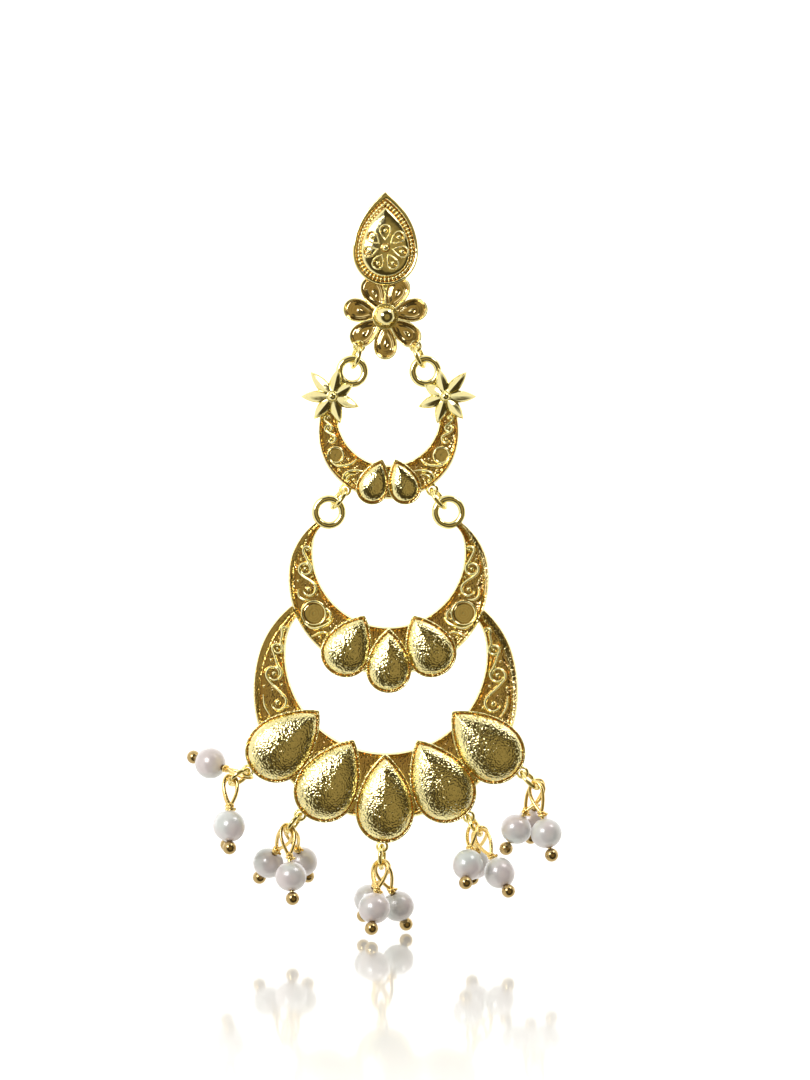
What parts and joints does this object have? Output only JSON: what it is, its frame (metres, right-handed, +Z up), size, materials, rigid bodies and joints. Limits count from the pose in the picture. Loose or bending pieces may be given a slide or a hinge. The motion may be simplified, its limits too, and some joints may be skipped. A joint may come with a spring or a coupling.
{
  "type": "chandelier drop earring",
  "caption": "Gold-tone chandelier drop earring: pear-shaped stud with a flower, crescents that hang one below another with pear bosses, and bunches of small pearls along the bottom.",
  "frame": {"origin": "where the ear post leaves the flat back of the stud plate", "axes": "+Z up, from the hanging drops towards the stud; +Y to the back along the ear post; +X to the right as seen from the front"},
  "size_m": [0.0471, 0.0176, 0.0926],
  "materials": {
    "gold_casting": "bright gold plate with fine hammered texture, antiqued orange-brown in the recesses",
    "ring_wire": "polished gold plate",
    "pin_wire": "polished, slightly darker gold plate",
    "ear_post_wire": "polished gold plate",
    "pearl": "imitation pearl, glossy grey-white lustre"
  },
  "bodies": {
    "stud": {"stud_casting": "gold_casting", "ear_post": "ear_post_wire"},
    "upper_drop": {"upper_crescent": "gold_casting", "upper_jump_ring_left": "ring_wire", "upper_jump_ring_right": "ring_wire"},
    "lower_drop": {"lower_jump_ring_left": "ring_wire", "lower_jump_ring_right": "ring_wire", "middle_crescent": "gold_casting", "lower_crescent": "gold_casting", "pearl_ring_1": "ring_wire", "pearl_ring_2": "ring_wire", "pearl_ring_3": "ring_wire", "pearl_ring_4": "ring_wire", "pearl_ring_5": "ring_wire", "pearl_1a": "pearl", "pearl_1b": "pearl", "pearl_1c": "pearl", "pearl_2a": "pearl", "pearl_2b": "pearl", "pearl_2c": "pearl", "pearl_3a": "pearl", "pearl_3b": "pearl", "pearl_3c": "pearl", "pearl_4a": "pearl", "pearl_4b": "pearl", "pearl_4c": "pearl", "pearl_5a": "pearl", "pearl_5b": "pearl", "pearl_5c": "pearl", "head_pin_1a": "pin_wire", "head_pin_1b": "pin_wire", "head_pin_1c": "pin_wire", "head_pin_2a": "pin_wire", "head_pin_2b": "pin_wire", "head_pin_2c": "pin_wire", "head_pin_3a": "pin_wire", "head_pin_3b": "pin_wire", "head_pin_3c": "pin_wire", "head_pin_4a": "pin_wire", "head_pin_4b": "pin_wire", "head_pin_4c": "pin_wire", "head_pin_5a": "pin_wire", "head_pin_5b": "pin_wire", "head_pin_5c": "pin_wire"}
  },
  "joints": [
    {"name": "upper_swing", "type": "hinge", "parent": "stud", "child": "upper_drop", "pos_m": [0, -0.0003, -0.01295], "axis": [1, 0, 0], "range_deg": [-30, 30]},
    {"name": "lower_swing", "type": "hinge", "parent": "upper_drop", "child": "lower_drop", "pos_m": [0.0004, -0.00038, -0.03075], "axis": [1, 0, 0], "range_deg": [-30, 30]}
  ]
}
